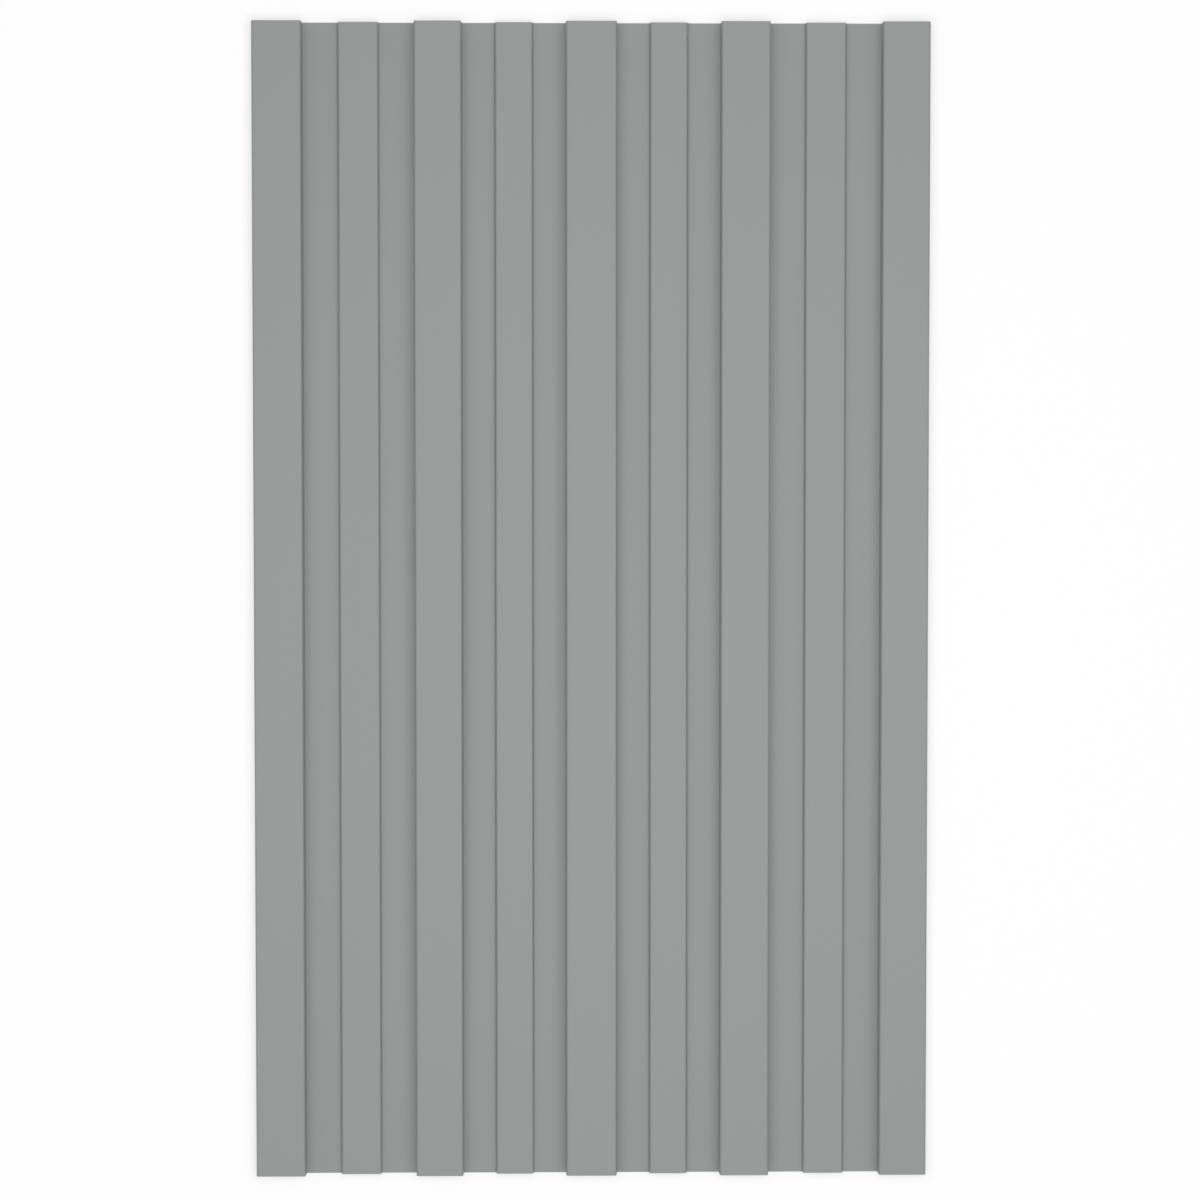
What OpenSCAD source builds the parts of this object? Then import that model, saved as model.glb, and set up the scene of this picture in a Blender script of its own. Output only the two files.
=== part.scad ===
// Ribbed steel roofing sheet, lying flat with its ribs up.
// One piece of coated steel strip, rolled into high and low ribs that run its whole length.
// X is across the ribs, Y is along them, and the undersides of the pans lie at Z = 0.

/* [Sheet] */
// Length of the sheet along its ribs
sheet_l = 600; // [200:10:2000]
// Thickness of the steel
sheet_t = 0.4; // [0.3:0.05:0.8]
// Inside radius of every bend
bend_r = 0.9; // [0.4:0.1:1.2]
// Lean of every web from upright, in degrees
web_lean = 2; // [0:0.5:12]

/* [High ribs] */
// Height of the high ribs above the pans
rib_h = 8; // [7:0.5:20]
// Width of the left edge rib, which laps over the next sheet
lap_rib_w = 25.4; // [15:0.1:40]
// Width of the rib left of the middle
left_rib_w = 24.3; // [15:0.1:40]
// Width of the middle rib
mid_rib_w = 26.1; // [15:0.1:40]
// Width of the rib right of the middle
right_rib_w = 25.2; // [15:0.1:40]
// Side clearance where a lap rib covers the edge rib of the next sheet
lap_gap = 0.1; // [0:0.05:0.5]
// Drop of the lip turned down along each side edge, from the rib's top face
lip_drop = 6; // [3:0.5:6.5]

/* [Low ribs] */
// Height of the low ribs above the pans
low_h = 3; // [2.6:0.1:6]
// Width of the low rib in each outer bay
outer_low_w = 20.8; // [12:0.1:40]
// Width of the low rib in each inner bay
inner_low_w = 19.4; // [12:0.1:40]

/* [Pans] */
// Clear width of the pans in the outer bays
outer_pan_w = 18.3; // [10:0.1:60]
// Clear width of the pans in the inner bays
inner_pan_w = 17; // [10:0.1:60]

/* [Hidden] */

// Flat steps that draw one bend
bend_steps = 6;
// Colour of the powder coat
coat_colour = [0.60, 0.62, 0.61];

// Every bend turns by the same angle and keeps one radius along the middle of the steel
bend_turn = 90 - web_lean;
middle_r = bend_r + sheet_t / 2;
// How far a corner moves in from the upper face to the middle of the steel
corner_shift = sheet_t / 2 * tan(bend_turn / 2);

// The right edge rib fits under the left edge rib of the next sheet
under_rib_w = lap_rib_w - 4 * corner_shift - 2 * lap_gap;

// Flats from the left edge to the right, each as its width on the upper face and its height above the pans
function rib(width) = [[width, rib_h]];
function bay(pan_w, low_w) = [[pan_w, 0], [low_w, low_h], [pan_w, 0]];
flats = concat(
    rib(lap_rib_w),
    bay(outer_pan_w, outer_low_w),
    rib(left_rib_w),
    bay(inner_pan_w, inner_low_w),
    rib(mid_rib_w),
    bay(inner_pan_w, inner_low_w),
    rib(right_rib_w),
    bay(outer_pan_w, outer_low_w),
    rib(under_rib_w)
);
last = len(flats) - 1;

// Width of a flat along the middle of the steel: a raised flat gets narrower, and a pan gets wider
function middle_w(i) = flats[i][0] + (flats[i][1] > 0 ? -2 : 2) * corner_shift;
// Level of a flat along the middle of the steel
function middle_z(i) = flats[i][1] + sheet_t / 2;
// Width that the web after a flat takes up
function web_run(i) = abs(flats[i + 1][1] - flats[i][1]) * tan(web_lean);
// Where a flat starts, counted from the start of the left edge rib
function flat_start(i) = i == 0 ? 0 : flat_start(i - 1) + middle_w(i - 1) + web_run(i - 1);

section_w = flat_start(last) + middle_w(last);
lip_z = rib_h + sheet_t - lip_drop;
lip_run = (middle_z(0) - lip_z) * tan(web_lean);

// Sharp corners of the section along the middle of the steel, from one lip's edge to the other
corners = concat(
    [[-lip_run, lip_z]],
    [for (i = [0:last]) each [[flat_start(i), middle_z(i)], [flat_start(i) + middle_w(i), middle_z(i)]]],
    [[section_w + lip_run, lip_z]]
);

function unit(v) = v / norm(v);
// Unit vector to the left of a direction
function left_of(v) = [-v[1], v[0]];
function turned(v, angle) = [v[0] * cos(angle) - v[1] * sin(angle), v[0] * sin(angle) + v[1] * cos(angle)];
// Direction of the section as it leaves a corner
function heading(i) = unit(corners[i + 1] - corners[i]);
// Angle that the section turns at a corner, positive to the left
function turn(i) = let (a = heading(i - 1), b = heading(i)) atan2(a[0] * b[1] - a[1] * b[0], a * b);

// One bend as an arc that runs a distance to the left of the middle of the steel
function bend(i, distance) =
    let (
        angle = turn(i),
        inward = sign(angle) * middle_r,
        normal = left_of(heading(i - 1)),
        centre = corners[i] - heading(i - 1) * middle_r * tan(abs(angle) / 2) + normal * inward
    )
    [for (step = [0:bend_steps]) centre + turned(normal, angle * step / bend_steps) * (distance - inward)];

// One face of the sheet, a distance to the left of the middle of the steel
function face(distance) =
    let (end = len(corners) - 1)
    concat(
        [corners[0] + left_of(heading(0)) * distance],
        [for (i = [1:end - 1]) each bend(i, distance)],
        [corners[end] + left_of(heading(end - 1)) * distance]
    );
function reversed(points) = [for (i = [len(points) - 1:-1:0]) points[i]];

module section() {
    polygon(concat(face(sheet_t / 2), reversed(face(-sheet_t / 2))));
}

module corrugated_sheet() {
    color(coat_colour)
        translate([-section_w / 2, sheet_l / 2, 0])
            rotate([90, 0, 0])
                linear_extrude(height = sheet_l)
                    section();
}

corrugated_sheet();
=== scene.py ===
import math

import bmesh
import bpy
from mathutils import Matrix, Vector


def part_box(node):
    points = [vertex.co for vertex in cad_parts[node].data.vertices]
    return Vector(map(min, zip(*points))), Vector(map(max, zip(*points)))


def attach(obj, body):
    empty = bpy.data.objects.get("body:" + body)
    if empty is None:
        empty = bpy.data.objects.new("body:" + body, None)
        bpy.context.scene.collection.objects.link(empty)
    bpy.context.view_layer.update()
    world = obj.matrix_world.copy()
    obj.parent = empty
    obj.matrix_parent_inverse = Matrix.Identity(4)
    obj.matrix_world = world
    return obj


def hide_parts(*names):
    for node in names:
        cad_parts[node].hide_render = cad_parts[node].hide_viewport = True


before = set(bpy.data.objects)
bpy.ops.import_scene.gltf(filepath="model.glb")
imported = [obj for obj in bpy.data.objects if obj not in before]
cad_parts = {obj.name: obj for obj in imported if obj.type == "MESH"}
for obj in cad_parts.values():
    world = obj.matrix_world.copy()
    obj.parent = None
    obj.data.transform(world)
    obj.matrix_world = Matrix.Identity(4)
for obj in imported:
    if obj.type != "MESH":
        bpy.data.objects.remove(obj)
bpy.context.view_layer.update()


# Ribbed sheet
# One strip of galvanised steel, coated on both faces and rolled into ribs that run its whole length.
# It is folded flat by flat, as the rolls fold it. Then its bends are rounded, and it gets its thickness.
mm = 0.001
sheet_low, sheet_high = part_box("corrugated_sheet")
sheet_length = sheet_high.y - sheet_low.y
steel_thickness = 0.4 * mm
bend_inside_radius = 0.9 * mm
web_lean = math.radians(2)
lip_drop = 6 * mm

rib_height = sheet_high.z - steel_thickness
low_rib_height = 3 * mm
lap_rib_width = 25.4 * mm
left_rib_width = 24.3 * mm
middle_rib_width = 26.1 * mm
right_rib_width = 25.2 * mm
lap_clearance = 0.1 * mm
outer_pan_width = 18.3 * mm
outer_low_rib_width = 20.8 * mm
inner_pan_width = 17.0 * mm
inner_low_rib_width = 19.4 * mm

# The folds are laid out along the middle of the steel, where a raised flat is narrower
# than on its upper face, and a pan is wider
bend_turn = math.pi / 2 - web_lean
corner_shift = steel_thickness / 2 * math.tan(bend_turn / 2)
bend_reach = (bend_inside_radius + steel_thickness / 2) * math.tan(bend_turn / 2)
under_rib_width = lap_rib_width - 4 * corner_shift - 2 * lap_clearance


def raised(width, height):
    return [(width - 2 * corner_shift, height)]


def bay(pan_width, low_rib_width):
    pan = [(pan_width + 2 * corner_shift, 0)]
    return pan + raised(low_rib_width, low_rib_height) + pan


flats = (
    raised(lap_rib_width, rib_height)
    + bay(outer_pan_width, outer_low_rib_width)
    + raised(left_rib_width, rib_height)
    + bay(inner_pan_width, inner_low_rib_width)
    + raised(middle_rib_width, rib_height)
    + bay(inner_pan_width, inner_low_rib_width)
    + raised(right_rib_width, rib_height)
    + bay(outer_pan_width, outer_low_rib_width)
    + raised(under_rib_width, rib_height)
)


def web_run(rise):
    return abs(rise) * math.tan(web_lean)


webs = [(web_run(b - a), b - a) for (_, a), (_, b) in zip(flats, flats[1:])]
section_width = sum(width for width, _ in flats) + sum(run for run, _ in webs)
lip_fall = lip_drop - steel_thickness / 2


def pick_edges(piece, wanted):
    """Select in edit mode just the edges whose bmesh edge passes the test."""
    bpy.ops.mesh.select_mode(type="EDGE")
    bpy.ops.mesh.select_all(action="DESELECT")
    edit = bmesh.from_edit_mesh(piece.data)
    for edge in edit.edges:
        edge.select_set(wanted(edge))
    edit.select_flush_mode()
    bmesh.update_edit_mesh(piece.data)


def runs_lengthwise(edge):
    slant = 0.001
    a, b = (vertex.co for vertex in edge.verts)
    return abs(a.x - b.x) + abs(a.z - b.z) < abs(a.y - b.y) * slant


def extrude_edge(run, rise):
    bpy.ops.mesh.extrude_edges_move(TRANSFORM_OT_translate={"value": (run, 0, rise)})


def round_edges(reach, segments):
    """Round the selected edges, from this far back on each side."""
    bpy.ops.mesh.bevel(
        offset_type="OFFSET",
        offset=reach,
        segments=segments,
        profile=0.5,
        affect="EDGES",
        clamp_overlap=False,
    )


# The top of the left edge rib, from which the rest is folded
bpy.ops.object.select_all(action="DESELECT")
bpy.ops.mesh.primitive_plane_add(size=1)
sheet = bpy.context.object
sheet.name = "ribbed_sheet"
bpy.ops.object.mode_set(mode="EDIT")
first_width, first_height = flats[0]
first_middle = -section_width / 2 + first_width / 2
bpy.ops.transform.resize(value=(first_width, sheet_length, 1))
bpy.ops.transform.translate(value=(first_middle, 0, first_height + steel_thickness / 2))

# Lip turned down along the left edge
pick_edges(sheet, lambda edge: all(vertex.co.x < first_middle for vertex in edge.verts))
extrude_edge(-web_run(lip_fall), -lip_fall)

# Webs and flats from left to right, then the lip along the right edge
pick_edges(sheet, lambda edge: all(vertex.co.x > first_middle for vertex in edge.verts))
for (run, rise), (width, _) in zip(webs, flats[1:]):
    extrude_edge(run, rise)
    extrude_edge(width, 0)
extrude_edge(web_run(lip_fall), -lip_fall)

# Round every fold, and cut the strip across into lengths
bend_segments = 8
cross_cuts = 23
pick_edges(sheet, lambda edge: runs_lengthwise(edge) and len(edge.link_faces) == 2)
round_edges(bend_reach, bend_segments)
pick_edges(sheet, runs_lengthwise)
bpy.ops.mesh.subdivide(number_cuts=cross_cuts)
bpy.ops.mesh.select_all(action="SELECT")
bpy.ops.mesh.normals_make_consistent(inside=False)
bpy.ops.object.mode_set(mode="OBJECT")


def apply_modifier(piece, kind, **settings):
    modifier = piece.modifiers.new(kind.lower(), kind)
    for name, value in settings.items():
        setattr(modifier, name, value)
    bpy.ops.object.modifier_apply(modifier=modifier.name)


apply_modifier(sheet, "SOLIDIFY", thickness=steel_thickness, offset=0, use_even_offset=True)

# The shears leave every cut edge slightly round
edge_round = 0.1 * mm
edge_segments = 3
cut_edge_angle = math.radians(60)
smooth_angle = math.radians(40)
bpy.ops.object.mode_set(mode="EDIT")
pick_edges(sheet, lambda edge: edge.calc_face_angle(0) > cut_edge_angle)
round_edges(edge_round, edge_segments)
bpy.ops.object.mode_set(mode="OBJECT")
bpy.ops.object.shade_smooth_by_angle(angle=smooth_angle)
apply_modifier(sheet, "WEIGHTED_NORMAL", mode="FACE_AREA", weight=100, keep_sharp=True)


class Wire:
    """A value in a material's nodes. Sums on it add Math nodes."""

    def __init__(self, tree, socket=None):
        self.tree = tree
        self.socket = socket

    def node(self, kind, settings=None, inputs=None, output=0):
        made = self.tree.nodes.new(kind)
        for name, value in (settings or {}).items():
            setattr(made, name, value)
        for name, value in (inputs or {}).items():
            if isinstance(value, Wire):
                self.tree.links.new(value.socket, made.inputs[name])
            else:
                made.inputs[name].default_value = value
        return Wire(self.tree, made.outputs[output] if made.outputs else None)

    def maths(self, operation, first, second):
        return self.node("ShaderNodeMath", {"operation": operation}, {0: first, 1: second})

    def __add__(self, other):
        return self.maths("ADD", self, other)

    def __sub__(self, other):
        return self.maths("SUBTRACT", self, other)

    def __rsub__(self, other):
        return self.maths("SUBTRACT", other, self)

    def __mul__(self, other):
        return self.maths("MULTIPLY", self, other)

    __radd__ = __add__
    __rmul__ = __mul__


def new_material(name):
    """A material with an empty tree, and the wire that its nodes start from."""
    material = bpy.data.materials.new(name)
    material.use_nodes = True
    material.node_tree.nodes.clear()
    return material, Wire(material.node_tree)


def noise(place, size, detail=2.0):
    """Noise from 0 to 1 whose patches are about this size, in metres."""
    return place.node("ShaderNodeTexNoise", None, {"Vector": place, "Scale": 1 / size, "Detail": detail})


def swing(pattern, amount):
    """A pattern from 0 to 1, made to swing evenly about 0 by this amount in all."""
    return (pattern - 0.5) * amount


# Powder coat: matt grey with a fine orange-peel skin, faint roll lines along the ribs,
# and a slightly smoother line along each bend, where the rolls have pressed it
coat_colour = (0.264, 0.285, 0.278)
patch_tone = 0.05
roll_line_tone = 0.03
grain_tone = 0.04
coat_roughness = 0.5
patch_roughness = 0.12
roll_line_roughness = 0.06
bend_smoothness = 0.06
patch_size = 60 * mm
roll_line_width = 2.5 * mm
roll_line_stretch = 50
peel_size = 3 * mm
grain_size = 0.5 * mm
grain_detail = 1.0
skin_depth = 0.012 * mm
grain_depth_share = 0.15

coat, start = new_material("grey_powder_coat")
place = start.node("ShaderNodeTexCoord", output="Object")
along_ribs = start.node(
    "ShaderNodeMapping",
    None,
    {"Vector": place, "Scale": (1, 1 / roll_line_stretch, 1)},
)
patches = noise(place, patch_size)
roll_lines = noise(along_ribs, roll_line_width)
grain = noise(place, grain_size, grain_detail)
peel = noise(place, peel_size)

# 1 halfway round a bend, and 0 on the flats and on an upright face
facing = start.node("ShaderNodeTexCoord", output="Normal")
upward = start.node("ShaderNodeSeparateXYZ", None, {"Vector": facing}, output="Z")
slope = upward * upward
on_bend = slope * (1 - slope) * 4

tone = 1 + swing(patches, patch_tone) + swing(roll_lines, roll_line_tone) + swing(grain, grain_tone)
colour = start.node(
    "ShaderNodeVectorMath",
    {"operation": "SCALE"},
    {"Vector": coat_colour, "Scale": tone},
)
roughness = (
    coat_roughness
    + swing(patches, patch_roughness)
    + swing(roll_lines, roll_line_roughness)
    - on_bend * bend_smoothness
)
skin = start.node(
    "ShaderNodeBump",
    None,
    {"Strength": 1.0, "Distance": skin_depth, "Height": peel + grain * grain_depth_share},
)
paint = start.node(
    "ShaderNodeBsdfPrincipled",
    None,
    {"Base Color": colour, "Roughness": roughness, "Specular IOR Level": 0.5, "Normal": skin},
)
start.node("ShaderNodeOutputMaterial", None, {"Surface": paint})
sheet.data.materials.append(coat)

# Cut edges: bare galvanised steel where the strip was slit and the sheet was sheared to length
steel_colour = (0.52, 0.53, 0.54, 1)
steel_roughness = 0.34
shear_mark_roughness = 0.2
shear_mark_width = 0.12 * mm
shear_mark_stretch = 10
shear_mark_depth = 0.01 * mm

steel, start = new_material("sheared_steel")
place = start.node("ShaderNodeTexCoord", output="Object")
through_steel = start.node(
    "ShaderNodeMapping",
    None,
    {"Vector": place, "Scale": (1, 1, 1 / shear_mark_stretch)},
)
shear_marks = noise(through_steel, shear_mark_width)
torn = start.node(
    "ShaderNodeBump",
    None,
    {"Strength": 1.0, "Distance": shear_mark_depth, "Height": shear_marks},
)
metal = start.node(
    "ShaderNodeBsdfPrincipled",
    None,
    {
        "Base Color": steel_colour,
        "Metallic": 1.0,
        "Roughness": steel_roughness + shear_marks * shear_mark_roughness,
        "Normal": torn,
    },
)
start.node("ShaderNodeOutputMaterial", None, {"Surface": metal})
sheet.data.materials.append(steel)

# A face is cut steel where it looks straight out of an end, or straight down under a lip
straight = 0.8
lip_start = sheet_high.x - 2 * steel_thickness
for face in sheet.data.polygons:
    at_end = abs(face.normal.y) > straight
    at_lip = face.normal.z < -straight and abs(face.center.x) > lip_start
    face.material_index = 1 if at_end or at_lip else 0

# The map opens the sheet flat into its two faces, with seams round the cut edges
bpy.ops.object.mode_set(mode="EDIT")
pick_edges(sheet, lambda edge: len({face.material_index for face in edge.link_faces}) == 2)
bpy.ops.mesh.mark_seam()
bpy.ops.mesh.select_all(action="SELECT")
bpy.ops.uv.unwrap(method="CONFORMAL", margin=0.002)
bpy.ops.object.mode_set(mode="OBJECT")
sheet.data.uv_layers.active.name = "OFBake"

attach(sheet, "root")
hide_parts("corrugated_sheet")


# Floor
# A plain white studio floor. It keeps the sheet's shadow in full under the sheet, weaker close round it,
# and not at all far away, where it runs into the white of the room.
floor_width = 12
floor_drop = 0.1 * mm
floor_white = (0.98, 0.98, 0.98, 1)
pure_white = (1, 1, 1, 1)
bpy.ops.object.select_all(action="DESELECT")
bpy.ops.mesh.primitive_plane_add(size=floor_width)
floor = bpy.context.object
floor.name = "studio_floor"
bpy.ops.object.mode_set(mode="EDIT")
bpy.ops.transform.translate(value=(0, 0, -floor_drop))
bpy.ops.object.mode_set(mode="OBJECT")


def rays_to_background(start):
    """1 for the rays that show the white background itself: to the camera, in a shine or through glass."""
    seen = start.node("ShaderNodeLightPath", output="Is Camera Ray")
    mirrored = start.node("ShaderNodeLightPath", output="Is Glossy Ray")
    through = start.node("ShaderNodeLightPath", output="Is Transmission Ray")
    return seen + mirrored + through


def fade(distance, first, last):
    """From 1 at the first distance to 0 at the last."""
    return distance.node(
        "ShaderNodeMapRange",
        {"interpolation_type": "SMOOTHSTEP"},
        {"Value": distance, "From Min": first, "From Max": last, "To Min": 1.0, "To Max": 0.0},
    )


# How far a point of the floor lies outside the sheet's outline, less than 0 under the sheet
white, start = new_material("white_floor")
place = start.node("ShaderNodeTexCoord", output="Object")
across = start.node("ShaderNodeSeparateXYZ", None, {"Vector": place}, output="X")
along = start.node("ShaderNodeSeparateXYZ", None, {"Vector": place}, output="Y")
beside = across.maths("ABSOLUTE", across, 0) - sheet_high.x
beyond = along.maths("ABSOLUTE", along, 0) - sheet_high.y
outside = beside.maths("MAXIMUM", beside, beyond)

# The parts of the shadow: under the sheet, close round it and further out. Each has its share
# of the whole, and the distances outside the sheet between which it fades away.
shadow_parts = (
    (0.55, -2 * mm, 1 * mm),
    (0.35, 0, 7 * mm),
    (0.10, 100 * mm, 800 * mm),
)
shadow_share = sum(share * fade(outside, first, last) for share, first, last in shadow_parts)
lit = start.node("ShaderNodeBsdfDiffuse", None, {"Color": floor_white})
glow = start.node("ShaderNodeEmission", None, {"Color": pure_white, "Strength": 1.0})
surface = start.node(
    "ShaderNodeMixShader",
    None,
    {0: rays_to_background(start) * (1 - shadow_share), 1: lit, 2: glow},
)
start.node("ShaderNodeOutputMaterial", None, {"Surface": surface})
floor.data.materials.append(white)


# Light
# A wide round softbox hangs over the middle of the sheet, in a plain white room.
# The softbox gives the light that the room leaves out, so a colour renders about as it is written.
ambient = 0.45
softbox_radius = 730 * mm
softbox_height = 770 * mm
softbox_place = (60 * mm, -20 * mm, softbox_height)
world = bpy.data.worlds.new("white_room")
bpy.context.scene.world = world
world.use_nodes = True
world.node_tree.nodes.clear()
start = Wire(world.node_tree)
dim = start.node("ShaderNodeBackground", None, {"Color": pure_white, "Strength": ambient})
bright = start.node("ShaderNodeBackground", None, {"Color": pure_white, "Strength": 1.0})
room = start.node("ShaderNodeMixShader", None, {0: rays_to_background(start), 1: dim, 2: bright})
start.node("ShaderNodeOutputWorld", None, {"Surface": room})

bpy.ops.object.light_add(type="AREA", location=softbox_place)
softbox = bpy.context.object
softbox.name = "overhead_softbox"
softbox.data.shape = "DISK"
softbox.data.size = 2 * softbox_radius
softbox.data.energy = math.pi ** 2 * (softbox_height ** 2 + softbox_radius ** 2) * (1 - ambient)
softbox.visible_camera = False


# Camera
# It looks almost straight down on the sheet, from a little above its middle and to the left.
# Its long lens takes in the whole sheet.
camera_place = (-12.9 * mm, 62.61 * mm, 1496.26 * mm)
camera_turn = (math.radians(-2.3495), math.radians(-0.6675), 0)
bpy.ops.object.camera_add(location=camera_place, rotation=camera_turn)
camera = bpy.context.object
camera.data.sensor_width = 36
camera.data.lens = 86.08
bpy.context.scene.camera = camera
bpy.context.scene.view_settings.view_transform = "Standard"
